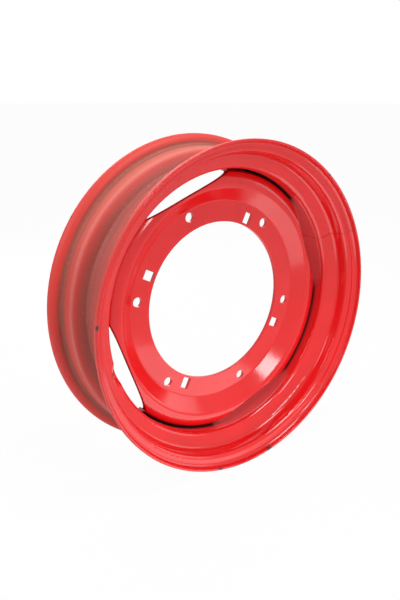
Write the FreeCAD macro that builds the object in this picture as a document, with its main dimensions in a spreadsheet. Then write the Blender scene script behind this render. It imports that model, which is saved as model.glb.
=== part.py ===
import FreeCAD, Part

import math
import os

import Sketcher

V = FreeCAD.Vector

# Driving sizes: millimetres and degrees, each with what it measures
SIZES = {
    "bead_seat_radius": (406.4, "bead seat at the heel, a 32 inch rim"),
    "bead_taper": (5, "taper of the bead seat, in degrees"),
    "rim_width": (203.2, "between the flanges, an 8 inch rim"),
    "rim_sheet": (6, "strip that the hoop is rolled from"),
    "lip_straight": (6.4, "straight edge beyond the curl of a flange"),
    "lip_round": (2, "rounding of the edges of a lip"),
    "curl_bend": (13, "inner radius of the curl of a flange"),
    "flange_wall": (2.3, "upright stretch of a flange below its curl"),
    "heel_bend": (8, "inner radius between flange and bead seat"),
    "seat_ledge": (39.5, "bead seat from flange to shoulder"),
    "shoulder_bend": (14, "inner radius from bead seat to well wall"),
    "well_depth": (43.4, "drop from the heel to the floor of the well"),
    "well_angle": (70, "slope of the well walls to the axle, in degrees"),
    "well_bend": (8, "inner radius between well wall and floor"),
    "disc_sheet": (10, "plate that the disc is pressed from"),
    "hub_bore_radius": (216, "large hole in the middle of the disc"),
    "dish_depth": (32, "crest in front of the bolting ring"),
    "slope_run": (40, "radial length of the dished slope"),
    "crest_width": (45, "radial length of the crest, up to the lobe's outside"),
    "ring_bend": (8, "inner radius between bolting ring and slope"),
    "crest_bend": (12, "inner radius between slope and crest"),
    "lobe_bend": (26, "inner radius between crest and lobe flange"),
    "lobe_depth": (42, "from the crest's front to the rear edge of a lobe"),
    "lobe_clearance": (0.2, "between a lobe flange and the floor of the well"),
    "flat_depth": (40.8, "cut off the disc's outside at the middle of a flat"),
    "flat_angle": (69, "first flat, in degrees from the top"),
    "bolt_land": (36.5, "from the hub bore's edge to the bolt circle"),
    "bolt_hole_radius": (12.75, "bolt holes"),
    "bolt_angle": (39.55, "first bolt hole, in degrees from the top"),
    "slot_land": (6, "plate left between a square hole and the hub bore"),
    "slot_length": (30, "square holes, along the radius"),
    "slot_width": (24.6, "square holes, across the radius"),
    "slot_angle": (26, "first square hole, in degrees from the top"),
    "weld_leg": (7, "leg of the fillet welds"),
    "weld_bulge": (0.8, "swell of the face of a fillet weld"),
    "weld_margin": (2, "lobe end left without weld, in degrees"),
    "valve_angle": (251.8, "valve hole, in degrees from the top"),
    "valve_tilt": (45, "valve hole's slope to the radius, in degrees"),
    "valve_hole_radius": (7.85, "valve hole"),
    "dimple_radius": (50, "ball that the valve dimple is pressed with"),
    "dimple_depth": (14, "dimple behind the corner of the well"),
}

# Sizes worked out from the driving ones
DERIVED = {
    "mid_plane": "0",
    "flange_width": "lip_straight + curl_bend + rim_sheet",
    "half_width": "rim_width / 2 + flange_width",
    "lip_place": "-half_width",
    "heel_rise": "heel_bend * tan((90 - bead_taper) / 2 * 1 deg)",
    "lip_radius": "bead_seat_radius + heel_rise + flange_wall + curl_bend + rim_sheet",
    "heel_place": "-rim_width / 2",
    "shoulder_place": "heel_place + seat_ledge",
    "shoulder_radius": "bead_seat_radius - seat_ledge * tan(bead_taper * 1 deg)",
    "floor_radius": "bead_seat_radius - well_depth",
    "well_place": "shoulder_place + (shoulder_radius - floor_radius) / tan(well_angle * 1 deg)",
    "barrel_radius": "floor_radius - rim_sheet",
    "corner_place": "well_place - rim_sheet * tan(well_angle / 2 * 1 deg)",
    "disc_radius": "barrel_radius - lobe_clearance",
    "crest_place": "-dish_depth",
    "crest_radius": "disc_radius - crest_width",
    "ring_radius": "crest_radius - slope_run",
    "lobe_end": "lobe_depth - dish_depth",
    "flat_distance": "disc_radius - flat_depth",
    "flat_clear": "disc_radius + flat_depth",
    "flat_half_length": "sqrt((disc_radius - disc_sheet) ^ 2 - flat_distance ^ 2)",
    "flat_length": "2 * flat_half_length",
    "bolt_circle_radius": "hub_bore_radius + bolt_land",
    "slot_inner": "hub_bore_radius + slot_land",
    "slot_outer": "slot_inner + slot_length",
    "lobe_half_angle": "45 - asin(flat_half_length / disc_radius) / 1 deg",
    "weld_arc": "2 * (lobe_half_angle - weld_margin)",
    "weld_toe": "lobe_end + weld_leg",
    "weld_top": "barrel_radius - weld_leg",
    "weld_face_radius": "weld_leg ^ 2 / (4 * weld_bulge) + weld_bulge / 2",
    "swell_radius": "dimple_radius + rim_sheet",
    "swell_root_place": "(corner_place + well_place) / 2",
    "swell_root_radius": "(barrel_radius + floor_radius) / 2",
    "swell_wall_place": "swell_root_place - swell_radius * cos(well_angle * 1 deg)",
    "swell_top_radius": "swell_root_radius + swell_radius * sin(well_angle * 1 deg)",
    "swell_floor_place": "swell_root_place + swell_radius",
}

BOLT_COUNT = 6
LOBE_COUNT = 4
FULL_TURN = 360
AXLE = V(0, 1, 0)
SAME_SPOT = 1e-6
SAME_PLANE = 1e-3

doc = FreeCAD.newDocument("tractor_wheel_rim")
sizes = doc.addObject("Spreadsheet::Sheet", "Sizes")


def fill_sheet():
    """Write the driving sizes and the ones worked out from them, each under its own alias."""
    row = 1
    for name, (value, note) in SIZES.items():
        sizes.set(f"A{row}", name)
        sizes.set(f"B{row}", str(value))
        sizes.setAlias(f"B{row}", name)
        sizes.set(f"C{row}", note)
        row += 1
    for name, formula in DERIVED.items():
        sizes.set(f"A{row}", name)
        sizes.set(f"B{row}", "=" + formula)
        sizes.setAlias(f"B{row}", name)
        row += 1
    doc.recompute()


def size(name):
    """The value of one cell as a plain number."""
    return float(sizes.get(name))


def cell(formula):
    """The formula with each size name pointed at the sheet."""
    words = formula.replace("(", " ( ").replace(")", " ) ").split()
    return " ".join("Sizes." + word if word in SIZES or word in DERIVED else word for word in words)


def new_body(label):
    """An empty body under the name of its piece."""
    body = doc.addObject("PartDesign::Body", label)
    body.Label = label
    return body


def new_sketch(body, name, role, turn=None):
    """A sketch on one of the body's own planes, turned clockwise from the top by a size."""
    sketch = body.newObject("Sketcher::SketchObject", name)
    plane = next(item for item in body.Origin.OriginFeatures if item.Role == role)
    sketch.AttachmentSupport = [(plane, "")]
    sketch.MapMode = "FlatFace"
    if turn:
        sketch.AttachmentOffset = FreeCAD.Placement(V(), FreeCAD.Rotation(V(0, 0, 1), -size(turn)))
        sketch.setExpression("AttachmentOffset.Rotation.Angle", f"-Sizes.{turn} * 1 deg")
    doc.recompute()
    return sketch


def bind(sketch, constraint, name, formula):
    """Add a dimension to a sketch and tie it to the sheet."""
    index = sketch.addConstraint(constraint)
    sketch.renameConstraint(index, name)
    sketch.setExpression(f"Constraints.{name}", cell(formula))


def place_point(sketch, geometry, position, name, along, up, point):
    """Fix a point of the sketch by its two distances from the origin."""
    across = Sketcher.Constraint("DistanceX", -1, 1, geometry, position, point.x)
    bind(sketch, across, f"{name}_along", along)
    upright = Sketcher.Constraint("DistanceY", -1, 1, geometry, position, point.y)
    bind(sketch, upright, f"{name}_up", up)


def meeting_ends(sketch, first, second):
    """Which end of one piece of a sketch meets which end of another: 1 is a start and 2 an end."""
    for one in (1, 2):
        for other in (1, 2):
            if sketch.getPoint(first, one).isEqual(sketch.getPoint(second, other), SAME_SPOT):
                return first, one, second, other
    raise RuntimeError("two pieces of a sketch do not meet")


def draw_run(sketch, pieces):
    """Add a run of lines and arcs to a sketch, each joined smoothly to the next."""
    ids = [sketch.addGeometry(piece) for piece in pieces]
    for first, second in zip(ids, ids[1:]):
        sketch.addConstraint(Sketcher.Constraint("Tangent", *meeting_ends(sketch, first, second)))
    return ids


def arc_about(middle, start, end, left):
    """The arc from start to end about its middle, turning left or right; it is kept anticlockwise."""
    first, last = (start, end) if left else (end, start)
    angles = [math.atan2(spot.y - middle.y, spot.x - middle.x) for spot in (first, last)]
    circle = Part.Circle(middle, V(0, 0, 1), middle.distanceToPoint(start))
    return Part.ArcOfCircle(circle, *angles)


def turns_left(before, corner, after):
    """Whether a run of corners bends to the left at its middle one."""
    return (corner - before).cross(after - corner).z > 0


def bent_line(corners, radii):
    """Lines and tangent arcs along a run of corners, each corner rounded by its radius."""
    pieces = []
    start = corners[0]
    for before, corner, after, radius in zip(corners, corners[1:], corners[2:], radii):
        back = (before - corner).normalize()
        ahead = (after - corner).normalize()
        half = back.getAngle(ahead) / 2
        bend_start = corner + back * (radius / math.tan(half))
        bend_end = corner + ahead * (radius / math.tan(half))
        middle = corner + (back + ahead).normalize() * (radius / math.sin(half))
        pieces.append(Part.LineSegment(start, bend_start))
        pieces.append(arc_about(middle, bend_start, bend_end, turns_left(before, corner, after)))
        start = bend_end
    pieces.append(Part.LineSegment(start, corners[-1]))
    return pieces


def offset_corners(corners, thickness):
    """The corners of the same run shifted to its right by the thickness."""
    runs = [(b - a).normalize() for a, b in zip(corners, corners[1:])]
    shifted = [corners[0] + V(runs[0].y, -runs[0].x) * thickness]
    for corner, run, following in zip(corners[1:], runs, runs[1:]):
        right = V(run.y, -run.x)
        ahead_right = V(following.y, -following.x)
        both = right + ahead_right
        shifted.append(corner + both * (2 * thickness / both.dot(both)))
    shifted.append(corners[-1] + V(runs[-1].y, -runs[-1].x) * thickness)
    return shifted


def bent_sheet(sketch, corners, bends, thickness):
    """Draw the section of a bent sheet: its face, its back and its two cut ends.

    corners holds (name, place along the axle, radius) in size names, and bends the inner radius at each
    corner between the two ends. The back lies to the right of the face.
    """
    points = [V(size(along), size(up)) for name, along, up in corners]
    face_radii, back_radii = [], []
    for before, corner, after, bend in zip(points, points[1:], points[2:], bends):
        left = turns_left(before, corner, after)
        face_radii.append(bend if left else f"{bend} + {thickness}")
        back_radii.append(f"{bend} + {thickness}" if left else bend)

    def worked_out(formula):
        return sum(size(word) for word in formula.split(" + "))

    face = bent_line(points, [worked_out(radius) for radius in face_radii])
    back_points = offset_corners(points, size(thickness))
    back = bent_line(back_points, [worked_out(radius) for radius in back_radii])
    face_ids = draw_run(sketch, face)
    back_ids = draw_run(sketch, back)
    ends = [sketch.addGeometry(Part.LineSegment(face[0].StartPoint, back[0].StartPoint)),
            sketch.addGeometry(Part.LineSegment(face[-1].EndPoint, back[-1].EndPoint))]

    arcs = zip(corners[1:-1], points[1:-1], face_ids[1::2], back_ids[1::2], face_radii, back_radii)
    for (name, along, up), point, face_arc, back_arc, face_radius, back_radius in arcs:
        mark = sketch.addGeometry(Part.Point(point), True)
        sketch.addConstraint(Sketcher.Constraint("PointOnObject", mark, 1, face_arc - 1))
        sketch.addConstraint(Sketcher.Constraint("PointOnObject", mark, 1, face_arc + 1))
        place_point(sketch, mark, 1, name, along, up, point)
        radius = Sketcher.Constraint("Radius", face_arc, worked_out(face_radius))
        bind(sketch, radius, f"{name}_face", face_radius)
        sketch.addConstraint(Sketcher.Constraint("Coincident", back_arc, 3, face_arc, 3))
        radius = Sketcher.Constraint("Radius", back_arc, worked_out(back_radius))
        bind(sketch, radius, f"{name}_back", back_radius)
    for end, spot, line, back_line, corner, point in (
            (ends[0], 1, face_ids[0], back_ids[0], corners[0], points[0]),
            (ends[1], 2, face_ids[-1], back_ids[-1], corners[-1], points[-1])):
        place_point(sketch, line, spot, *corner, point)
        sketch.addConstraint(Sketcher.Constraint("Coincident", end, 1, line, spot))
        sketch.addConstraint(Sketcher.Constraint("Coincident", end, 2, back_line, spot))
        sketch.addConstraint(Sketcher.Constraint("Parallel", line, back_line))
        sketch.addConstraint(Sketcher.Constraint("Perpendicular", line, end))
    doc.recompute()


def polygon(sketch, corners):
    """Draw straight sides between corners, each given as (name, place along the axle, radius)."""
    points = [V(size(along), size(up)) for name, along, up in corners]
    sides = [sketch.addGeometry(Part.LineSegment(a, b)) for a, b in zip(points, points[1:] + points[:1])]
    for first, second in zip(sides, sides[1:] + sides[:1]):
        sketch.addConstraint(Sketcher.Constraint("Coincident", first, 2, second, 1))
    for side, corner, point in zip(sides, corners, points):
        place_point(sketch, side, 1, *corner, point)
    doc.recompute()


def revolve(body, sketch, name, arc=None):
    """Turn a section about the axle, a full turn or an arc centred on the section."""
    turn = body.newObject("PartDesign::Revolution", name)
    turn.Profile = sketch
    turn.ReferenceAxis = (sketch, ["H_Axis"])
    if arc:
        turn.Midplane = True
        turn.setExpression("Angle", f"Sizes.{arc} * 1 deg")
    else:
        turn.Angle = FULL_TURN
    doc.recompute()
    return turn


def rectangle(sketch, low, high, width):
    """A rectangle centred on the sketch's upright axis, from one distance to another."""
    left, right = V(-size(width) / 2, size(low)), V(size(width) / 2, size(high))
    spots = [left, V(right.x, left.y), right, V(left.x, right.y)]
    sides = [sketch.addGeometry(Part.LineSegment(a, b)) for a, b in zip(spots, spots[1:] + spots[:1])]
    for first, second in zip(sides, sides[1:] + sides[:1]):
        sketch.addConstraint(Sketcher.Constraint("Coincident", first, 2, second, 1))
    sketch.addConstraint(Sketcher.Constraint("Symmetric", sides[0], 1, sides[0], 2, -2))
    sketch.addConstraint(Sketcher.Constraint("Vertical", sides[1]))
    sketch.addConstraint(Sketcher.Constraint("Vertical", sides[3]))
    sketch.addConstraint(Sketcher.Constraint("Horizontal", sides[2]))
    bind(sketch, Sketcher.Constraint("DistanceY", -1, 1, sides[0], 1, left.y), "low", low)
    bind(sketch, Sketcher.Constraint("DistanceY", -1, 1, sides[2], 1, right.y), "high", high)
    bind(sketch, Sketcher.Constraint("DistanceX", sides[0], 1, sides[0], 2, size(width)), "width", width)


def cut_round(body, sketch, name, count):
    """Cut a sketch through the body from side to side, repeated evenly around the axle."""
    before = body.Shape.Volume
    pocket = body.newObject("PartDesign::Pocket", name)
    pocket.Profile = sketch
    pocket.SideType = "Symmetric"
    pocket.Type = "ThroughAll"
    doc.recompute()
    pattern = body.newObject("PartDesign::PolarPattern", f"{name}_around")
    pattern.Originals = [pocket]
    pattern.Axis = (sketch, ["N_Axis"])
    pattern.Angle = FULL_TURN
    pattern.Occurrences = count
    body.Tip = pattern
    doc.recompute()
    if not body.Shape.Volume < before:
        raise RuntimeError(f"{name} cuts nothing")


def make_hoop():
    """The rolled hoop: half of its section turned about the axle, mirrored, with rounded lips."""
    body = new_body("rim_hoop")
    section = new_sketch(body, "rim_section", "YZ_Plane")
    corners = [
        ("lip", "lip_place", "lip_radius"),
        ("curl", "heel_place", "lip_radius"),
        ("heel", "heel_place", "bead_seat_radius"),
        ("shoulder", "shoulder_place", "shoulder_radius"),
        ("well", "well_place", "floor_radius"),
        ("middle", "mid_plane", "floor_radius"),
    ]
    bent_sheet(section, corners, ["curl_bend", "heel_bend", "shoulder_bend", "well_bend"], "rim_sheet")
    half = revolve(body, section, "half_hoop")
    mirror = body.newObject("PartDesign::Mirrored", "whole_hoop")
    mirror.Originals = [half]
    mirror.MirrorPlane = (next(p for p in body.Origin.OriginFeatures if p.Role == "XZ_Plane"), [""])
    body.Tip = mirror
    doc.recompute()
    reach = size("half_width")
    lip_edges = []
    for number, edge in enumerate(mirror.Shape.Edges, 1):
        at_lip = abs(abs(edge.BoundBox.YMin) - reach) < SAME_PLANE
        if at_lip and edge.BoundBox.YLength < SAME_PLANE:
            lip_edges.append(f"Edge{number}")
    rounding = body.newObject("PartDesign::Fillet", "lip_rounding")
    rounding.Base = (mirror, lip_edges)
    rounding.setExpression("Radius", "Sizes.lip_round")
    body.Tip = rounding
    doc.recompute()
    return body


def at_valve(name, kind, back):
    """A round tool on the valve's line, set back along it from the corner of the well."""
    tool = doc.addObject(kind, name)
    turn = FreeCAD.Rotation(AXLE, size("valve_angle"))
    tilt = FreeCAD.Rotation(V(1, 0, 0), -size("valve_tilt"))
    corner = V(0, size("corner_place"), size("barrel_radius"))
    line = tilt.multVec(V(0, 0, 1))
    tool.Placement = FreeCAD.Placement(turn.multVec(corner + line * back), turn.multiply(tilt))
    return tool


def combine(kind, name, base, tool):
    """Join, cut or intersect two shapes under a new name."""
    result = doc.addObject(kind, name)
    result.Base = base
    result.Tool = tool
    doc.recompute()
    return result


def make_rim():
    """The hoop with the dimple pressed into the corner of its well, and the valve hole through it."""
    hoop = make_hoop()
    back = size("dimple_depth") - size("dimple_radius")
    ball = at_valve("dimple_ball", "Part::Sphere", back)
    ball.setExpression("Radius", "Sizes.dimple_radius")
    swell = at_valve("dimple_swell", "Part::Sphere", back)
    swell.setExpression("Radius", "Sizes.swell_radius")
    corner = new_body("well_corner")
    outline = new_sketch(corner, "well_corner_outline", "YZ_Plane")
    polygon(outline, [
        ("root", "swell_root_place", "swell_root_radius"),
        ("wall", "swell_wall_place", "swell_top_radius"),
        ("top", "swell_floor_place", "swell_top_radius"),
        ("floor", "swell_floor_place", "swell_root_radius"),
    ])
    revolve(corner, outline, "well_corner_ring")
    swelling = combine("Part::Common", "dimple_back", corner, swell)
    swollen = combine("Part::Fuse", "swollen_hoop", hoop, swelling)
    pressed = combine("Part::Cut", "pressed_hoop", swollen, ball)
    hole = at_valve("valve_hole", "Part::Cylinder", 0)
    hole.setExpression("Radius", "Sizes.valve_hole_radius")
    hole.setExpression("Height", "Sizes.swell_radius")
    return combine("Part::Cut", "rim", pressed, hole)


def make_disc():
    """The pressed disc: its section turned about the axle, then flats, bolt holes and square holes."""
    body = new_body("disc")
    section = new_sketch(body, "disc_section", "YZ_Plane")
    corners = [
        ("bore", "mid_plane", "hub_bore_radius"),
        ("ring", "mid_plane", "ring_radius"),
        ("crest", "crest_place", "crest_radius"),
        ("lobe", "crest_place", "disc_radius"),
        ("edge", "lobe_end", "disc_radius"),
    ]
    bent_sheet(section, corners, ["ring_bend", "crest_bend", "lobe_bend"], "disc_sheet")
    revolve(body, section, "dished_plate")
    flat = new_sketch(body, "flat_outline", "XZ_Plane", "flat_angle")
    rectangle(flat, "flat_distance", "flat_clear", "flat_length")
    cut_round(body, flat, "flats", LOBE_COUNT)
    bolt = new_sketch(body, "bolt_hole_outline", "XZ_Plane", "bolt_angle")
    middle = V(0, size("bolt_circle_radius"))
    circle = bolt.addGeometry(Part.Circle(middle, V(0, 0, 1), size("bolt_hole_radius")))
    bolt.addConstraint(Sketcher.Constraint("PointOnObject", circle, 3, -2))
    centre = Sketcher.Constraint("DistanceY", -1, 1, circle, 3, middle.y)
    bind(bolt, centre, "centre", "bolt_circle_radius")
    radius = Sketcher.Constraint("Radius", circle, size("bolt_hole_radius"))
    bind(bolt, radius, "radius", "bolt_hole_radius")
    cut_round(body, bolt, "bolt_holes", BOLT_COUNT)
    slot = new_sketch(body, "square_hole_outline", "XZ_Plane", "slot_angle")
    rectangle(slot, "slot_inner", "slot_outer", "slot_width")
    cut_round(body, slot, "square_holes", LOBE_COUNT)
    return body


def make_weld(number):
    """The fillet weld between the rear edge of one lobe and the floor of the well."""
    body = new_body(f"lobe_weld_{number}")
    sketch = new_sketch(body, f"weld_section_{number}", "YZ_Plane")
    root = V(size("lobe_end"), size("barrel_radius"))
    toe = V(size("weld_toe"), root.y)
    top = V(root.x, size("weld_top"))
    middle = (toe + top) * 0.5 - V(1, -1).normalize() * (size("weld_face_radius") - size("weld_bulge"))
    rear = sketch.addGeometry(Part.LineSegment(top, root))
    seat = sketch.addGeometry(Part.LineSegment(root, toe))
    face = sketch.addGeometry(arc_about(middle, toe, top, False))
    for first, second in ((rear, seat), (seat, face), (face, rear)):
        sketch.addConstraint(Sketcher.Constraint("Coincident", *meeting_ends(sketch, first, second)))
    place_point(sketch, seat, 1, "root", "lobe_end", "barrel_radius", root)
    place_point(sketch, seat, 2, "toe", "weld_toe", "barrel_radius", toe)
    place_point(sketch, rear, 1, "top", "lobe_end", "weld_top", top)
    radius = Sketcher.Constraint("Radius", face, size("weld_face_radius"))
    bind(sketch, radius, "face", "weld_face_radius")
    doc.recompute()
    revolve(body, sketch, f"weld_{number}", "weld_arc")
    lobe = (number - 0.5) * FULL_TURN / LOBE_COUNT
    body.Placement = FreeCAD.Placement(V(), FreeCAD.Rotation(AXLE, size("flat_angle") + lobe))
    body.setExpression("Placement.Rotation.Angle", f"Sizes.flat_angle * 1 deg + {lobe} deg")
    doc.recompute()
    return body


def check_and_write(parts):
    """Stop at any failed object or bad shape, then write one file for each piece."""
    for item in doc.Objects:
        if "Invalid" in item.State or "Error" in item.State:
            raise RuntimeError(f"{item.Name} failed: {item.State}")
    for part in parts:
        if part.Shape.isNull() or not part.Shape.isValid() or len(part.Shape.Solids) != 1:
            raise RuntimeError(f"{part.Label} is not one good solid")
    os.makedirs("parts", exist_ok=True)
    for part in parts:
        part.Shape.exportStep(f"parts/{part.Label}.step")


fill_sheet()
pieces = [make_rim(), make_disc()]
pieces += [make_weld(number) for number in range(1, LOBE_COUNT + 1)]
check_and_write(pieces)
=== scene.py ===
"""Looks of a steel tractor wheel rim: worn red paint, weld beads, camera, light and floor."""

import logging
import math
from dataclasses import dataclass
from enum import Enum
from typing import Union

import bmesh
import bpy
from mathutils import Matrix, Vector


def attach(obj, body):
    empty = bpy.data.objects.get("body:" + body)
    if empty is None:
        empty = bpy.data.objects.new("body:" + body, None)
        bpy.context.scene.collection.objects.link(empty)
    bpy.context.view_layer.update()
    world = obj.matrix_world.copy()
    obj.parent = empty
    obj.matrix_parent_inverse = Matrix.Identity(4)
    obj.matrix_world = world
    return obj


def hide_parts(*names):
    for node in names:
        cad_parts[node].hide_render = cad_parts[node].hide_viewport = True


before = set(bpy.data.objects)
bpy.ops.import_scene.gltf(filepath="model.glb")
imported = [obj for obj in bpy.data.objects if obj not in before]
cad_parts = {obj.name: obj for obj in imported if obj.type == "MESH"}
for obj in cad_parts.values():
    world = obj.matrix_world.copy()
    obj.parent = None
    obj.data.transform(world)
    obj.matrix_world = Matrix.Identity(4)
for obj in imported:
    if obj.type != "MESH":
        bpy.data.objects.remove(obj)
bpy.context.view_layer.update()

Colour = tuple[float, float, float, float]
Place = tuple[float, float, float]
Span = tuple[float, float]
Ring = tuple[float, float, float]
Bend = tuple[float, float, float]
Chip = tuple[Place, float]
Feed = Union[float, Colour, Place, bpy.types.NodeSocket]
Sockets = dict[str, bpy.types.NodeSocket]

LOG = logging.getLogger("wheel_rim")
BODY = "root"
MIDDLE: Place = (0.0, 0.0, 0.0)
AXLE: Place = (0.0, 1.0, 0.0)
ACROSS: Place = (1.0, 0.0, 1.0)
WHITE: Colour = (1.0, 1.0, 1.0, 1.0)
RISE: Span = (0.0, 1.0)
FALL: Span = (1.0, 0.0)
CREASE = math.radians(50.0)
SAME_SPOT = 1e-6


def srgb(red: int, green: int, blue: int) -> Colour:
    """Turn a colour written as 0 to 255 into the linear colour that shaders take.

    Args:
        red: red share.
        green: green share.
        blue: blue share.

    Returns:
        The linear colour with full alpha.
    """
    def straight(share: int) -> float:
        """One share without its display curve."""
        value = share / 255
        return value / 12.92 if value <= 0.04045 else ((value + 0.055) / 1.055) ** 2.4

    return straight(red), straight(green), straight(blue), 1.0


def around(radius: float, along: float, degrees: float) -> Vector:
    """A spot by its radius, its place along the axle and its angle clockwise from the top.

    Args:
        radius: distance from the axle in metres.
        along: place along the axle in metres.
        degrees: angle from the top, clockwise as the photograph shows the wheel.

    Returns:
        The spot in the row frame.
    """
    turn = math.radians(degrees)
    return Vector((radius * math.sin(turn), along, radius * math.cos(turn)))


class Socket(Enum):
    """Kinds of socket that a node group can have."""

    VALUE = "NodeSocketFloat"
    VECTOR = "NodeSocketVector"


class Side(Enum):
    """The two sides of the wheel, by their direction along the axle."""

    NEAR = -1.0
    FAR = 1.0


class Wiring:
    """Adds nodes to one node tree and joins them."""

    def __init__(self, tree: bpy.types.NodeTree) -> None:
        """Keep the tree that the nodes go into."""
        self.tree = tree

    def find(self, kind: str) -> bpy.types.Node:
        """The node of this kind that the tree came with."""
        return next(node for node in self.tree.nodes if node.type == kind)

    def add(self, kind: str, **settings: object) -> bpy.types.Node:
        """Add a node.

        Args:
            kind: Blender's name of the node.
            settings: properties of the node to set.

        Returns:
            The new node.
        """
        node = self.tree.nodes.new(kind)
        for name, value in settings.items():
            setattr(node, name, value)
        return node

    def feed(self, socket: bpy.types.NodeSocket, value: Feed) -> None:
        """Join a socket to another one, or give it a plain value.

        Args:
            socket: the input to fill.
            value: an output socket, a number, a colour or a place.
        """
        if isinstance(value, bpy.types.NodeSocket):
            self.tree.links.new(value, socket)
        else:
            socket.default_value = value

    def work_out(self, operation: str, first: Feed, second: Feed = 0.0) -> bpy.types.NodeSocket:
        """Work out a number from two others.

        Args:
            operation: Blender's name of the sum.
            first: first number.
            second: second number.

        Returns:
            The result's socket.
        """
        node = self.add("ShaderNodeMath", operation=operation)
        self.feed(node.inputs[0], first)
        self.feed(node.inputs[1], second)
        return node.outputs[0]

    def times(self, *factors: Feed) -> Feed:
        """Multiply numbers.

        Args:
            factors: the numbers.

        Returns:
            The product's socket.
        """
        product = factors[0]
        for factor in factors[1:]:
            product = self.work_out("MULTIPLY", product, factor)
        return product

    def most(self, first: Feed, second: Feed) -> bpy.types.NodeSocket:
        """The larger of two numbers."""
        return self.work_out("MAXIMUM", first, second)

    def vector(self, operation: str, first: Feed, second: Feed = MIDDLE) -> bpy.types.Node:
        """Work out a vector from two others.

        Args:
            operation: Blender's name of the sum.
            first: first vector.
            second: second vector.

        Returns:
            The node, whose outputs are the vector and the number.
        """
        node = self.add("ShaderNodeVectorMath", operation=operation)
        self.feed(node.inputs[0], first)
        self.feed(node.inputs[1], second)
        return node

    def split(self, vector: Feed) -> bpy.types.NodeOutputs:
        """Take a vector apart.

        Args:
            vector: the vector.

        Returns:
            Its three numbers' sockets, by the names X, Y and Z.
        """
        node = self.add("ShaderNodeSeparateXYZ")
        self.feed(node.inputs[0], vector)
        return node.outputs

    def blend(self, share: Feed, first: Feed, second: Feed) -> bpy.types.NodeSocket:
        """Mix two colours.

        Args:
            share: how much of the second colour shows.
            first: colour at 0.
            second: colour at 1.

        Returns:
            The mixed colour's socket.
        """
        # the node has sockets for each kind of data: its colours are inputs 6 and 7 and output 2
        node = self.add("ShaderNodeMix", data_type="RGBA")
        self.feed(node.inputs[0], share)
        self.feed(node.inputs[6], first)
        self.feed(node.inputs[7], second)
        return node.outputs[2]

    def ease(self, value: Feed, span: Span, ends: Span = RISE) -> bpy.types.NodeSocket:
        """Carry a value smoothly from one range to another.

        Args:
            value: the number to carry over.
            span: where the change starts and where it ends.
            ends: the results there.

        Returns:
            The result's socket.
        """
        node = self.add("ShaderNodeMapRange", interpolation_type="SMOOTHSTEP")
        names = ("Value", "From Min", "From Max", "To Min", "To Max")
        for name, number in zip(names, (value, *span, *ends)):
            self.feed(node.inputs[name], number)
        return node.outputs[0]

    def noise(self, vector: Feed, scale: float, detail: float) -> bpy.types.NodeSocket:
        """A soft random pattern.

        Args:
            vector: coordinates of the pattern.
            scale: repeats per unit of them.
            detail: finer layers in the pattern.

        Returns:
            The pattern's socket, around a half.
        """
        node = self.add("ShaderNodeTexNoise")
        self.feed(node.inputs["Vector"], vector)
        self.feed(node.inputs["Scale"], scale)
        self.feed(node.inputs["Detail"], detail)
        return node.outputs[0]

    def group(self, tree: bpy.types.NodeTree, **values: Feed) -> bpy.types.NodeOutputs:
        """Place a node group.

        Args:
            tree: the group.
            values: what its inputs are fed, by name.

        Returns:
            The group's output sockets, by name.
        """
        node = self.add("ShaderNodeGroup", node_tree=tree)
        for name, value in values.items():
            self.feed(node.inputs[name], value)
        return node.outputs


def new_group(
    name: str, inputs: dict[str, Socket], outputs: dict[str, Socket]
) -> tuple[Wiring, Sockets, Sockets]:
    """Start a shader node group with named sockets.

    Args:
        name: name of the group.
        inputs: its inputs.
        outputs: its outputs.

    Returns:
        The group's wiring, its input sockets and its output sockets, by name.
    """
    tree = bpy.data.node_groups.new(name, "ShaderNodeTree")
    for direction, sockets in (("INPUT", inputs), ("OUTPUT", outputs)):
        for label, kind in sockets.items():
            tree.interface.new_socket(name=label, in_out=direction, socket_type=kind.value)
    wires = Wiring(tree)
    arriving = wires.add("NodeGroupInput").outputs
    leaving = wires.add("NodeGroupOutput").inputs
    return wires, {label: arriving[label] for label in inputs}, {label: leaving[label] for label in outputs}


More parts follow.
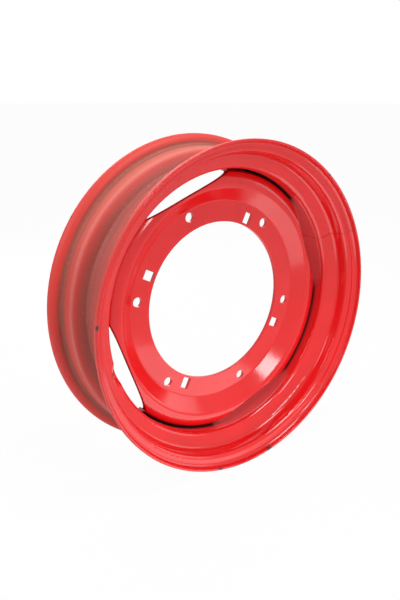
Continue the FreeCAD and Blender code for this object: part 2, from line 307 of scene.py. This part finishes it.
class Effects:
    """The effects that the finishes share, each built once as a node group.

    A pattern is given as its scale and its detail, and an edge as where a mask starts and ends.
    """

    facing_edge: Span = (-0.2, 0.2)
    peel_pattern: Span = (420.0, 2.0)
    peel_share: float = 0.4
    wave_pattern: Span = (60.0, 2.0)
    cloud_pattern: Span = (9.0, 4.0)
    cloud_edge: Span = (0.3, 0.7)
    speck_pattern: Span = (240.0, 1.0)
    speck_edge: Span = (0.70, 0.76)
    streak_turn: Place = (3.0, 3.0, 3.0)
    streak_detail: float = 5.0
    streak_roughness: float = 0.6
    streak_edge: Span = (0.32, 0.68)
    lobe_edge: Span = (-0.32, 0.20)
    ragged_pattern: Span = (150.0, 3.0)
    raggedness: float = 1.6
    chip_edge: Span = (0.85, 1.1)

    def __init__(self) -> None:
        """Build the groups."""
        self.section = self.make_section()
        self.band = self.make_band()
        self.skin = self.make_skin()
        self.streaks = self.make_streaks()
        self.lobes = self.make_lobes()
        self.chip = self.make_chip()

    def make_section(self) -> bpy.types.NodeTree:
        """Where a spot lies in the wheel's section, and whether it faces the tyre or up.

        Returns:
            The group.
        """
        outputs = dict.fromkeys(("Radius", "Reach", "Tyre Side", "Up"), Socket.VALUE)
        outputs["Direction"] = Socket.VECTOR
        wires, _, leaving = new_group("wheel_section", {}, outputs)
        spot = wires.add("ShaderNodeTexCoord").outputs
        flat = wires.vector("MULTIPLY", spot["Object"], ACROSS).outputs["Vector"]
        direction = wires.vector("NORMALIZE", flat).outputs["Vector"]
        along = wires.split(spot["Object"])["Y"]
        facing = wires.split(spot["Normal"])
        outward = wires.vector("DOT_PRODUCT", spot["Normal"], direction).outputs["Value"]
        inward = wires.times(facing["Y"], wires.work_out("SIGN", along), -1.0)
        tyre = wires.work_out("ADD", outward, inward)
        wires.feed(leaving["Radius"], wires.vector("LENGTH", flat).outputs["Value"])
        wires.feed(leaving["Reach"], wires.work_out("ABSOLUTE", along))
        wires.feed(leaving["Tyre Side"], wires.ease(tyre, self.facing_edge))
        wires.feed(leaving["Up"], facing["Z"])
        wires.feed(leaving["Direction"], direction)
        return wires.tree

    def make_band(self) -> bpy.types.NodeTree:
        """A band round the wheel, soft at its edges.

        Returns:
            The group.
        """
        inputs = dict.fromkeys(("Radius", "Reach", "Width"), Socket.VALUE)
        wires, arriving, leaving = new_group("wheel_band", inputs, {"Mask": Socket.VALUE})
        spot = wires.group(self.section)
        across = wires.work_out("SUBTRACT", spot["Radius"], arriving["Radius"])
        along = wires.work_out("SUBTRACT", spot["Reach"], arriving["Reach"])
        square = wires.work_out("ADD", wires.times(across, across), wires.times(along, along))
        away = wires.work_out("DIVIDE", wires.work_out("SQRT", square), arriving["Width"])
        wires.feed(leaving["Mask"], wires.ease(away, RISE, FALL))
        return wires.tree

    def make_skin(self) -> bpy.types.NodeTree:
        """Sprayed paint: the waviness of its skin, its cloudiness and the specks caught in it.

        Returns:
            The group.
        """
        outputs = dict.fromkeys(("Height", "Cloud", "Specks"), Socket.VALUE)
        wires, _, leaving = new_group("paint_skin", {}, outputs)
        spot = wires.add("ShaderNodeTexCoord").outputs["Object"]
        peel = wires.times(wires.noise(spot, *self.peel_pattern), self.peel_share)
        wave = wires.noise(spot, *self.wave_pattern)
        cloud = wires.noise(spot, *self.cloud_pattern)
        specks = wires.noise(spot, *self.speck_pattern)
        wires.feed(leaving["Height"], wires.work_out("ADD", peel, wave))
        wires.feed(leaving["Cloud"], wires.ease(cloud, self.cloud_edge))
        wires.feed(leaving["Specks"], wires.ease(specks, self.speck_edge))
        return wires.tree

    def make_streaks(self) -> bpy.types.NodeTree:
        """Dust and rubbing drawn out round the wheel.

        Returns:
            The group.
        """
        inputs = {"Fineness": Socket.VALUE}
        wires, arriving, leaving = new_group("dust_streaks", inputs, {"Mask": Socket.VALUE})
        spot = wires.group(self.section)
        turn = wires.vector("MULTIPLY", spot["Direction"], self.streak_turn).outputs["Vector"]
        across = wires.work_out("ADD", spot["Radius"], spot["Reach"])
        rings = wires.add("ShaderNodeTexNoise", noise_dimensions="4D")
        wires.feed(rings.inputs["Vector"], turn)
        wires.feed(rings.inputs["W"], wires.times(across, arriving["Fineness"]))
        wires.feed(rings.inputs["Scale"], 1.0)
        wires.feed(rings.inputs["Detail"], self.streak_detail)
        wires.feed(rings.inputs["Roughness"], self.streak_roughness)
        wires.feed(leaving["Mask"], wires.ease(rings.outputs[0], self.streak_edge))
        return wires.tree

    def make_lobes(self) -> bpy.types.NodeTree:
        """Which part of the turn lies at the disc's lobes, and not at its flats.

        Returns:
            The group.
        """
        inputs = dict.fromkeys(("Count", "Middle"), Socket.VALUE)
        wires, arriving, leaving = new_group("lobe_turn", inputs, {"Mask": Socket.VALUE})
        parts = wires.split(wires.group(self.section)["Direction"])
        turn = wires.work_out("ARCTAN2", parts["X"], parts["Z"])
        phase = wires.times(wires.work_out("SUBTRACT", turn, arriving["Middle"]), arriving["Count"])
        wires.feed(leaving["Mask"], wires.ease(wires.work_out("COSINE", phase), self.lobe_edge))
        return wires.tree

    def make_chip(self) -> bpy.types.NodeTree:
        """One ragged spot where the paint has come off.

        Returns:
            The group.
        """
        inputs = {"Place": Socket.VECTOR, "Size": Socket.VALUE}
        wires, arriving, leaving = new_group("paint_chip", inputs, {"Mask": Socket.VALUE})
        spot = wires.add("ShaderNodeTexCoord").outputs["Object"]
        away = wires.vector("DISTANCE", spot, arriving["Place"]).outputs["Value"]
        ragged = wires.times(wires.noise(spot, *self.ragged_pattern), self.raggedness)
        share = wires.work_out("DIVIDE", away, wires.times(arriving["Size"], ragged))
        wires.feed(leaving["Mask"], wires.ease(share, self.chip_edge, FALL))
        return wires.tree


def new_material(name: str) -> tuple[bpy.types.Material, Wiring]:
    """Start a material.

    Args:
        name: name of the material.

    Returns:
        The material and its wiring.
    """
    material = bpy.data.materials.new(name)
    material.use_nodes = True
    return material, Wiring(material.node_tree)


@dataclass
class Coat:
    """A paint in the making: its material, wiring and shader, its colour so far and its skin."""

    material: bpy.types.Material
    wires: Wiring
    shader: bpy.types.Node
    colour: bpy.types.NodeSocket
    skin: bpy.types.NodeOutputs


@dataclass(frozen=True)
class RedPaint:
    """Sprayed red gloss paint on steel, with the same skin on every piece."""

    name: str
    red: Colour = srgb(229, 23, 27)
    deep: Colour = srgb(222, 20, 24)
    speck: Colour = srgb(150, 60, 55)
    speck_share: float = 0.5
    gloss: float = 0.10
    cloud_gloss: float = 0.08
    shine: float = 0.52
    skin_depth: float = 0.00006
    skin_strength: float = 0.35

    def start(self, effects: Effects) -> Coat:
        """Begin the paint's material.

        Args:
            effects: the shared effects.

        Returns:
            The paint in the making.
        """
        material, wires = new_material(self.name)
        shader = wires.find("BSDF_PRINCIPLED")
        shader.inputs["Specular IOR Level"].default_value = self.shine
        skin = wires.group(effects.skin)
        cloudy = wires.blend(skin["Cloud"], self.red, self.deep)
        colour = wires.blend(wires.times(skin["Specks"], self.speck_share), cloudy, self.speck)
        return Coat(material, wires, shader, colour, skin)

    def cloudy_gloss(self, coat: Coat) -> bpy.types.NodeSocket:
        """How rough the plain paint is, a little more so in its clouds."""
        return coat.wires.ease(coat.skin["Cloud"], RISE, (self.gloss, self.gloss + self.cloud_gloss))

    def complete(self, coat: Coat, colour: Feed, rough: Feed, height: Feed) -> bpy.types.Material:
        """Give the shader its colour, its roughness and its fine relief.

        Args:
            coat: the paint in the making.
            colour: the colour over the surface.
            rough: the roughness over the surface.
            height: the relief.

        Returns:
            The material.
        """
        bump = coat.wires.add("ShaderNodeBump")
        bump.inputs["Strength"].default_value = self.skin_strength
        bump.inputs["Distance"].default_value = self.skin_depth
        coat.wires.feed(bump.inputs["Height"], height)
        coat.wires.feed(coat.shader.inputs["Normal"], bump.outputs["Normal"])
        coat.wires.feed(coat.shader.inputs["Base Color"], colour)
        coat.wires.feed(coat.shader.inputs["Roughness"], rough)
        return coat.material

    def make(self, effects: Effects) -> bpy.types.Material:
        """The plain paint, as on the welds.

        Args:
            effects: the shared effects.

        Returns:
            The material.
        """
        coat = self.start(effects)
        return self.complete(coat, coat.colour, self.cloudy_gloss(coat), coat.skin["Height"])


@dataclass(frozen=True)
class WornPaint(RedPaint):
    """The paint where it can be chipped, with painted shade where it goes down into the gap at the hoop."""

    bare: Colour = srgb(66, 44, 40)
    # painted shade: a near-black red for the gap between the disc's lobes and the hoop
    gap_shade: Colour = srgb(52, 14, 15)
    gap_shade_edge: Span = (0.3470, 0.3545)
    cloud_gloss: float = 0.06
    chip_rough: float = 0.6
    chips: tuple[Chip, ...] = ()

    def scuff(self, wires: Wiring, effects: Effects) -> Feed:
        """All the chips of this piece as one mask.

        Args:
            wires: the material's wiring.
            effects: the shared effects.

        Returns:
            The mask's socket, or 0 where there are no chips.
        """
        mask: Feed = 0.0
        for place, size in self.chips:
            mask = wires.most(mask, wires.group(effects.chip, Place=place, Size=size)["Mask"])
        return mask

    def complete_worn(self, coat: Coat, colour: Feed, rough: Feed, worn: Feed) -> bpy.types.Material:
        """Take the paint off where it is worn, and complete the material.

        Args:
            coat: the paint in the making.
            colour: the colour of the whole paint.
            rough: the roughness of the whole paint.
            worn: where the paint is off.

        Returns:
            The material.
        """
        wires = coat.wires
        rough = wires.most(rough, wires.times(worn, self.chip_rough))
        height = wires.work_out("SUBTRACT", coat.skin["Height"], worn)
        return self.complete(coat, wires.blend(worn, colour, self.bare), rough, height)

    def make(self, effects: Effects) -> bpy.types.Material:
        """The paint of the disc.

        Args:
            effects: the shared effects.

        Returns:
            The material.
        """
        coat = self.start(effects)
        wires = coat.wires
        # painted shade: the disc turns near-black towards its rim, where it goes down into the gap at the
        # hoop
        gap_shade = wires.ease(wires.group(effects.section)["Radius"], self.gap_shade_edge)
        shaded = wires.blend(gap_shade, coat.colour, self.gap_shade)
        return self.complete_worn(coat, shaded, self.cloudy_gloss(coat), self.scuff(wires, effects))


@dataclass(frozen=True)
class HoopPaint(WornPaint):
    """The hoop: gloss towards the axle with painted shade in the well behind the disc, dull and dusty where
    the tyre sits, worn along its lips.
    """

    dull: Colour = srgb(222, 76, 69)
    flange: Colour = srgb(230, 48, 42)
    # painted shade: a darker red for the well floor behind the disc's flats
    floor_shade: Colour = srgb(178, 44, 46)
    settled: Colour = srgb(176, 92, 84)
    fleck: Colour = srgb(226, 178, 168)
    dirt: Colour = srgb(140, 88, 72)
    # lighter on the shoulder ridge: a painted highlight, with rubbing wear from the tyre
    rubbed_and_highlight: Colour = srgb(232, 148, 138)
    # paler on surfaces that face up: powdery dust, with a painted sheen
    powder_and_sheen: Colour = srgb(236, 150, 132)
    heel: Ring = (0.4085, 0.0985, 0.020)
    corner: Ring = (0.3690, 0.0470, 0.028)
    ridge_highlight: Ring = (0.4040, 0.0625, 0.010)
    well: Span = (0.3660, 0.4000)
    flange_edge: Span = (0.4120, 0.4230)
    flange_share: Span = (0.0, 0.85)
    powder_and_sheen_edge: Span = (0.25, 1.0)
    powder_and_sheen_share: Span = (0.0, 0.45)
    streak_fineness: float = 160.0
    dirt_film: float = 0.10
    dirt_share: float = 0.85
    dirt_streaks: Span = (0.6, 1.0)
    rubbed_and_highlight_streaks: Span = (0.3, 0.8)
    settled_streaks: Span = (0.35, 0.75)
    fleck_share: float = 0.5
    floor_edge: Span = (0.0340, 0.0460)
    floor_skin: Span = (0.3580, 0.3600)
    floor_rough: float = 0.75
    # painted shade: how far along the axle the dark crevice at the lobes reaches
    gap_shade_reach: Span = (0.0120, 0.0270)
    floor_shade_share: float = 0.4
    lobe_count: float = 4.0
    lobe_middle: float = math.radians(24.0)
    lip: Span = (0.1225, 0.1262)
    lip_pattern: Span = (7.0, 6.0)
    lip_patches: Span = (0.66, 0.74)
    tyre_rough: float = 0.58
    chip_rough: float = 0.55

    def band(self, wires: Wiring, effects: Effects, ring: Ring) -> bpy.types.NodeSocket:
        """One soft band round the hoop.

        Args:
            wires: the material's wiring.
            effects: the shared effects.
            ring: the band's radius, its reach along the axle and its width.

        Returns:
            The mask's socket.
        """
        radius, reach, width = ring
        return wires.group(effects.band, Radius=radius, Reach=reach, Width=width)["Mask"]

    def tyre_side(self, coat: Coat, effects: Effects, section: bpy.types.NodeOutputs) -> bpy.types.NodeSocket:
        """The dull side: powdery with a painted sheen above, dirty in its corners, rubbed with a painted
        highlight on its ridges, dusty in the well.

        Args:
            coat: the paint in the making.
            effects: the shared effects.
            section: where a spot lies in the wheel's section.

        Returns:
            The colour's socket.
        """
        wires = coat.wires
        streaks = wires.group(effects.streaks, Fineness=self.streak_fineness)["Mask"]
        heel = wires.times(self.band(wires, effects, self.heel), self.dirt_share)
        corner = wires.times(self.band(wires, effects, self.corner), self.dirt_share)
        caught = wires.work_out("ADD", wires.work_out("ADD", heel, corner), self.dirt_film)
        dirt = wires.times(caught, wires.ease(streaks, RISE, self.dirt_streaks))
        # lighter along the shoulder ridge: a painted highlight, with rubbing wear from the tyre
        rubbed_and_highlight_share = wires.ease(streaks, RISE, self.rubbed_and_highlight_streaks)
        ridge_highlight = wires.times(self.band(wires, effects, self.ridge_highlight), rubbed_and_highlight_share)
        floor = wires.ease(section["Radius"], self.well, FALL)
        dust = wires.times(floor, wires.ease(streaks, RISE, self.settled_streaks))
        # paler where the surface faces up: powdery dust, with a painted sheen
        powder_and_sheen = wires.ease(section["Up"], self.powder_and_sheen_edge, self.powder_and_sheen_share)
        colour = wires.blend(powder_and_sheen, self.dull, self.powder_and_sheen)
        outer = wires.ease(section["Radius"], self.flange_edge, self.flange_share)
        colour = wires.blend(outer, colour, self.flange)
        colour = wires.blend(dirt, colour, self.dirt)
        colour = wires.blend(ridge_highlight, colour, self.rubbed_and_highlight)
        colour = wires.blend(dust, colour, self.settled)
        return wires.blend(wires.times(coat.skin["Specks"], floor, self.fleck_share), colour, self.fleck)

    def make(self, effects: Effects) -> bpy.types.Material:
        """The hoop's whole finish.

        Args:
            effects: the shared effects.

        Returns:
            The material.
        """
        coat = self.start(effects)
        wires = coat.wires
        section = wires.group(effects.section)
        low = wires.times(wires.ease(section["Reach"], self.floor_edge, FALL),
                          wires.ease(section["Radius"], self.floor_skin, FALL))
        lobes = wires.group(effects.lobes, Count=self.lobe_count, Middle=self.lobe_middle)["Mask"]
        # painted shade: a darker, duller red on the well floor behind the disc's flats
        flat = wires.times(low, wires.work_out("SUBTRACT", 1.0, lobes))
        # painted shade: near-black in the crevice where the disc's lobes meet the hoop's well floor
        crevice_shade = wires.times(low, lobes, wires.ease(section["Reach"], self.gap_shade_reach, FALL))
        axle_side_shaded = wires.blend(wires.times(flat, self.floor_shade_share), coat.colour, self.floor_shade)
        axle_side_shaded = wires.blend(crevice_shade, axle_side_shaded, self.gap_shade)
        colour = wires.blend(section["Tyre Side"], axle_side_shaded, self.tyre_side(coat, effects, section))
        rough = wires.ease(section["Tyre Side"], RISE, (self.gloss, self.tyre_rough))
        rough = wires.most(rough, wires.times(low, self.floor_rough))
        patches = wires.ease(wires.noise(section["Direction"], *self.lip_pattern), self.lip_patches)
        rim_edge = wires.times(wires.ease(section["Reach"], self.lip), patches)
        return self.complete_worn(coat, colour, rough, wires.most(rim_edge, self.scuff(wires, effects)))


def add_object(name: str, data: bpy.types.ID) -> bpy.types.Object:
    """Add an object to the scene.

    Args:
        name: name of the object.
        data: its mesh, lamp or camera.

    Returns:
        The object.
    """
    item = bpy.data.objects.new(name, data)
    bpy.context.scene.collection.objects.link(item)
    return item


def finished(name: str, mesh: bmesh.types.BMesh, material: bpy.types.Material) -> bpy.types.Object:
    """Turn a bmesh into a piece that rides on the wheel.

    Args:
        name: name of the piece.
        mesh: its shape, in the row frame.
        material: its finish.

    Returns:
        The piece's object.
    """
    bmesh.ops.remove_doubles(mesh, verts=mesh.verts, dist=SAME_SPOT)
    bmesh.ops.recalc_face_normals(mesh, faces=mesh.faces)
    for face in mesh.faces:
        face.smooth = True
    for edge in mesh.edges:
        edge.smooth = edge.calc_face_angle(0.0) < CREASE
    data = bpy.data.meshes.new(name)
    mesh.to_mesh(data)
    mesh.free()
    data.materials.append(material)
    piece = add_object(name, data)
    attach(piece, BODY)
    LOG.info("%s: %d faces", name, len(data.polygons))
    return piece


def paint(node: str, material: bpy.types.Material) -> None:
    """Give a CAD node its finish.

    Args:
        node: name of the node.
        material: its finish.
    """
    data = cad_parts[node].data
    data.materials.clear()
    data.materials.append(material)
    LOG.info("%s: %s", node, material.name)


@dataclass
class Hoop:
    """The rolled hoop and the trimmed butt weld that closes it."""

    node: str = "rim"
    slot: str = "rim_paint"
    strip: float = 0.006
    proud: float = 0.00030
    seam_angle: float = 67.4
    seam_turn: float = 0.36
    bend_steps: int = 6
    run: tuple[Bend, ...] = (
        (-0.12450, 0.43203, 0.0),
        (-0.10460, 0.43203, 0.016),
        (-0.10460, 0.40365, 0.011),
        (-0.06427, 0.40012, 0.017),
        (-0.04966, 0.36000, 0.011),
        (0.04966, 0.36000, 0.011),
        (0.06427, 0.40012, 0.017),
        (0.10460, 0.40365, 0.011),
        (0.10460, 0.43203, 0.016),
        (0.12450, 0.43203, 0.0),
    )
    lip_radius: float = 0.4345
    lip_reach: float = 0.1265
    lip_chips: tuple[tuple[Side, float, float], ...] = (
        (Side.NEAR, 276.5, 0.007),
        (Side.FAR, 305.25, 0.008),
        (Side.NEAR, 40.25, 0.006),
        (Side.NEAR, 191.0, 0.010),
        (Side.NEAR, 167.5, 0.014),
    )

    def chips(self) -> tuple[Chip, ...]:
        """Where the paint has come off the lips.

        Returns:
            The place and the size of each chip.
        """
        spots = []
        for side, degrees, size in self.lip_chips:
            place = around(self.lip_radius, side.value * self.lip_reach, degrees)
            spots.append((tuple(place), size))
        return tuple(spots)

    def bent_run(self, degrees: float) -> bmesh.types.BMesh:
        """The middle line of the hoop's section at one angle, with its bends rounded.

        Args:
            degrees: the angle from the top.

        Returns:
            The line as a chain of edges.
        """
        mesh = bmesh.new()
        spots = [around(radius, along, degrees) for along, radius, _ in self.run]
        corners = [mesh.verts.new(spot) for spot in spots]
        for first, second in zip(corners, corners[1:]):
            mesh.edges.new((first, second))
        for before, spot, after, (_, _, bend) in zip(spots, spots[1:], spots[2:], self.run[1:]):
            half_angle = (before - spot).angle(after - spot) / 2
            corner = min(mesh.verts, key=lambda vert: (vert.co - spot).length)
            bmesh.ops.bevel(mesh, geom=[corner], offset=bend / math.tan(half_angle), offset_type="OFFSET",
                            segments=self.bend_steps, profile=0.5, affect="VERTICES", material=-1)
        return mesh

    def build(self, material: bpy.types.Material) -> bpy.types.Object:
        """Build the seam: the hoop's own section, a little thicker and a few millimetres wide.

        Args:
            material: the finish of the seam.

        Returns:
            The seam's piece.
        """
        mesh = self.bent_run(self.seam_angle - self.seam_turn / 2)
        bmesh.ops.spin(mesh, geom=mesh.verts[:] + mesh.edges[:], cent=MIDDLE, axis=AXLE,
                       angle=math.radians(self.seam_turn), steps=2, use_merge=False)
        bmesh.ops.recalc_face_normals(mesh, faces=mesh.faces)
        mesh.normal_update()
        # solidify works to one side, so the sheet first moves out by half of its thickness
        half = self.strip / 2 + self.proud
        shifts = [vert.normal * vert.calc_shell_factor() * half for vert in mesh.verts]
        for vert, shift in zip(mesh.verts, shifts):
            vert.co += shift
        bmesh.ops.solidify(mesh, geom=mesh.faces[:], thickness=2 * half)
        return finished("rim_seam", mesh, material)

    def dress(self, material: bpy.types.Material) -> None:
        """Give the hoop its paint."""
        paint(self.node, material)


@dataclass
class Disc:
    """The pressed disc and the fillet welds that hold its lobes in the hoop."""

    node: str = "disc"
    slot: str = "weld_paint"
    edge_from: float = 0.3000
    edge_tilt: float = 0.70
    weld_count: int = 4
    first_weld: float = 114.0
    weld_turn: float = 38.8
    root: Span = (0.0100, 0.3570)
    leg: float = 0.0070
    bulge: float = 0.0008
    outline: tuple[Span, ...] = ((0.0, 0.0), (1.0, 0.0), (0.80, 0.32), (0.58, 0.58), (0.32, 0.80), (0.0, 1.0))
    ripples: int = 72
    ripple_steps: int = 4
    ripple_height: float = 0.00035
    ripple_middle: float = 0.6
    ripple_lag: float = 0.8
    taper: float = 0.006
    thinnest: float = 0.15
    on_steel: float = 1e-5

    def build(self, material: bpy.types.Material) -> list[bpy.types.Object]:
        """Build the weld beads with their ripples.

        Args:
            material: the finish of the beads.

        Returns:
            The beads' pieces.
        """
        beads = []
        for number in range(self.weld_count):
            mesh = self.bead(self.first_weld + number * 360 / self.weld_count)
            piece = finished(f"weld_bead_{number + 1}", mesh, material)
            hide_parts(f"lobe_weld_{number + 1}")
            beads.append(piece)
        return beads

    def bead(self, middle: float) -> bmesh.types.BMesh:
        """One bead: its section swept round the lobe, then rippled and thinned at its ends.

        Args:
            middle: angle of the bead's middle in degrees.

        Returns:
            The bead's shape.
        """
        mesh = bmesh.new()
        along, radius = self.root
        start = middle - self.weld_turn / 2
        section = []
        for toe, top in self.outline:
            swell = 4 * toe * top * self.bulge
            spot = around(radius - top * self.leg - swell, along + toe * self.leg + swell, start)
            section.append(mesh.verts.new(spot))
        face = mesh.faces.new(section)
        steps = self.ripples * self.ripple_steps
        bmesh.ops.spin(mesh, geom=[face, *face.edges, *face.verts], cent=MIDDLE, axis=AXLE,
                       angle=math.radians(self.weld_turn), steps=steps, use_merge=False)
        for vert in mesh.verts:
            vert.co = self.rippled(vert.co, start)
        return mesh

    def rippled(self, spot: Vector, start: float) -> Vector:
        """Where a spot of the plain bead lies once the bead is rippled.

        Args:
            spot: the spot on the plain bead.
            start: angle of the bead's start in degrees.

        Returns:
            The spot on the rippled bead.
        """
        along, radius = self.root
        toe = spot.y - along
        top = radius - math.hypot(spot.x, spot.z)
        turn = math.degrees(math.atan2(spot.x, spot.z))
        turned = (turn - start) % 360
        share = 0.0 if turned > 180 else turned / self.weld_turn
        lag = self.ripple_lag * (1 - abs(toe - top) / self.leg)
        phase = (share * self.ripples - lag) % 1.0
        free = toe > self.on_steel and top > self.on_steel
        lift = self.ripple_height * (phase - self.ripple_middle) if free else 0.0
        end = min(share, 1 - share) * math.radians(self.weld_turn) * radius
        near = min(1.0, max(0.0, end / self.taper))
        thin = max(math.sqrt(1 - (1 - near) ** 2), self.thinnest)
        return around(radius - (top + lift) * thin, along + (toe + lift) * thin, turn)

    def dress(self, material: bpy.types.Material, edge: bpy.types.Material) -> None:
        """Give the disc its paint, and the edges that face outwards a darker red without shine, as painted
        shade.

        Args:
            material: the finish of the disc.
            edge: the painted shade on its cut edges and on the backs of its lobes' rolls, a darker red
                without shine.
        """
        paint(self.node, material)
        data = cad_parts[self.node].data
        data.materials.append(edge)
        for face in data.polygons:
            outwards = Vector((face.center.x, 0.0, face.center.z))
            turned = face.normal.dot(outwards.normalized()) > self.edge_tilt
            face.material_index = int(turned and outwards.length > self.edge_from)


@dataclass(frozen=True)
class Lamp:
    """A round soft lamp: where it hangs, its width, how bright it looks and what it faces."""

    name: str
    place: Place
    width: float
    radiance: float
    aim: Place = MIDDLE

    def hang(self) -> None:
        """Add the lamp to the scene."""
        data = bpy.data.lights.new(self.name, "AREA")
        data.shape = "DISK"
        data.size = self.width
        data.energy = self.radiance * math.pi * self.width ** 2
        lamp = add_object(self.name, data)
        lamp.location = self.place
        lamp.rotation_euler = (Vector(self.aim) - Vector(self.place)).to_track_quat("-Z", "Y").to_euler()
        lamp.visible_camera = False


@dataclass
class Studio:
    """The floor, the white surroundings, the soft lamps and the camera."""

    floor_height: float = -0.43503
    floor_radius: float = 40.0
    floor_sides: int = 96
    floor_colour: Colour = (0.9, 0.9, 0.9, 1.0)
    floor_rough: float = 0.9
    floor_glow: float = 0.97
    ambient: float = 0.17
    eye: Place = (-1.1149, -1.4168, 0.5578)
    azimuth: float = -36.78
    elevation: float = 17.12
    lens: float = 41.96
    sensor: float = 36.0
    lamps: tuple[Lamp, ...] = (
        Lamp("top_lamp", (0.30, -1.00, 2.60), 1.20, 8.8),
        Lamp("key_lamp", (-0.17, -2.65, 1.53), 0.75, 12.0),
        Lamp("left_fill", (-2.40, 0.60, 1.60), 1.40, 4.6),
        Lamp("right_fill", (2.60, -1.30, 0.40), 1.60, 1.1),
        Lamp("back_fill", (0.50, 2.60, 1.20), 1.50, 4.0),
        Lamp("floor_bounce", (0.05, -0.45, -0.43), 0.80, 1.2, aim=(0.05, -0.45, 1.0)),
    )

    @staticmethod
    def seen(wires: Wiring) -> bpy.types.NodeSocket:
        """Whether the camera, a reflection or glass is looking.

        Args:
            wires: the wiring of the material or the world.

        Returns:
            The mask's socket.
        """
        path = wires.add("ShaderNodeLightPath").outputs
        direct = wires.most(path["Is Camera Ray"], path["Is Glossy Ray"])
        return wires.most(direct, path["Is Transmission Ray"])

    def surround(self) -> None:
        """White all round to the eye, and an even soft light on the wheel."""
        world = bpy.data.worlds.new("white_studio")
        world.use_nodes = True
        wires = Wiring(world.node_tree)
        background = wires.find("BACKGROUND")
        background.inputs["Color"].default_value = WHITE
        wires.feed(background.inputs["Strength"], wires.ease(self.seen(wires), RISE, (self.ambient, 1.0)))
        bpy.context.scene.world = world

    def floor_finish(self) -> bpy.types.Material:
        """A pale floor that looks white and still takes a shadow.

        Returns:
            The material.
        """
        material, wires = new_material("pale_floor")
        shader = wires.find("BSDF_PRINCIPLED")
        shader.inputs["Base Color"].default_value = self.floor_colour
        shader.inputs["Roughness"].default_value = self.floor_rough
        glow = wires.add("ShaderNodeEmission")
        mix = wires.add("ShaderNodeMixShader")
        wires.feed(mix.inputs[0], wires.times(self.seen(wires), self.floor_glow))
        wires.feed(mix.inputs[1], shader.outputs["BSDF"])
        wires.feed(mix.inputs[2], glow.outputs["Emission"])
        wires.feed(wires.find("OUTPUT_MATERIAL").inputs["Surface"], mix.outputs["Shader"])
        return material

    def lay_floor(self) -> None:
        """Lay the floor that the wheel stands on."""
        mesh = bmesh.new()
        bmesh.ops.create_circle(mesh, cap_ends=True, segments=self.floor_sides, radius=self.floor_radius)
        bmesh.ops.translate(mesh, verts=mesh.verts, vec=(0.0, 0.0, self.floor_height))
        data = bpy.data.meshes.new("floor")
        mesh.to_mesh(data)
        mesh.free()
        data.materials.append(self.floor_finish())
        floor = add_object("floor", data)

    def hang_lamps(self) -> None:
        """Hang the soft lamps."""
        for lamp in self.lamps:
            lamp.hang()

    def set_camera(self) -> None:
        """Stand the camera where the photograph was taken from."""
        data = bpy.data.cameras.new("camera")
        data.sensor_width = self.sensor
        data.sensor_fit = "AUTO"
        data.lens = self.lens
        camera = add_object("camera", data)
        tip = Matrix.Rotation(math.radians(90.0 - self.elevation), 4, "X")
        swing = Matrix.Rotation(math.radians(self.azimuth), 4, "Z")
        camera.matrix_world = Matrix.Translation(self.eye) @ swing @ tip
        bpy.context.scene.camera = camera

    def build(self) -> None:
        """Set the whole stage."""
        bpy.context.scene.view_settings.view_transform = "Standard"
        self.surround()
        self.lay_floor()
        self.hang_lamps()
        self.set_camera()


def main() -> None:
    """Build the wheel's pieces, give them their finishes and set the stage."""
    logging.basicConfig(level=logging.INFO)
    effects = Effects()
    hoop = Hoop()
    hoop.dress(HoopPaint("hoop_paint", chips=hoop.chips()).make(effects))
    seam_paint = HoopPaint("seam_paint", red=srgb(196, 28, 31), deep=srgb(180, 25, 28), gloss=0.32, shine=0.2)
    hoop.build(seam_paint.make(effects))
    disc = Disc()
    # painted shade: a darker red without shine on the disc's outward-facing edges and the backs of its lobes'
    # rolls
    edge_shade_paint = WornPaint("edge_shade_paint", red=srgb(182, 26, 29), deep=srgb(166, 22, 25), shine=0.0)
    disc.dress(WornPaint("disc_paint").make(effects), edge_shade_paint.make(effects))
    disc.build(RedPaint("weld_bead_paint", gloss=0.34).make(effects))
    Studio().build()


if __name__ == "__main__":
    main()
